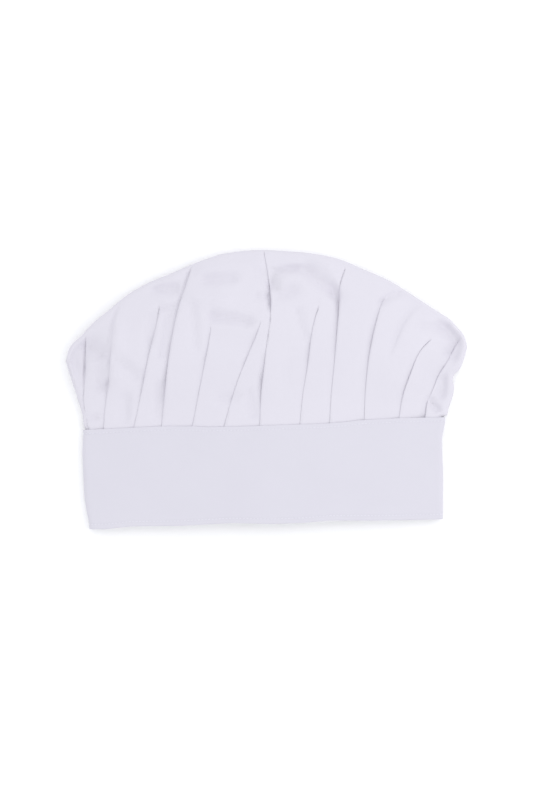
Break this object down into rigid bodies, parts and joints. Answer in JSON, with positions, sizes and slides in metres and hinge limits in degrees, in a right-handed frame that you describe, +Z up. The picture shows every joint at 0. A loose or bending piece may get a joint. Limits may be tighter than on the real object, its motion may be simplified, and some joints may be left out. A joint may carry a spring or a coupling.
{
  "type": "chef hat",
  "caption": "White cotton chef's hat lying flat: a tall band round the head, with a soft knife-pleated crown puffed above it.",
  "frame": {"origin": "on the surface that the hat lies on, under the middle of its box", "axes": "+Y from the hem of the band to the top of the crown, +X across the band, +Z up from the surface that the hat lies on"},
  "size_m": [0.3362, 0.231, 0.032],
  "materials": {
    "band_cotton": "white polycotton, doubled and pressed flat, matt",
    "crown_cotton": "white polycotton, single layer, soft and matt with small creases"
  },
  "bodies": {
    "root": {"band": "band_cotton", "crown": "crown_cotton"}
  },
  "joints": []
}
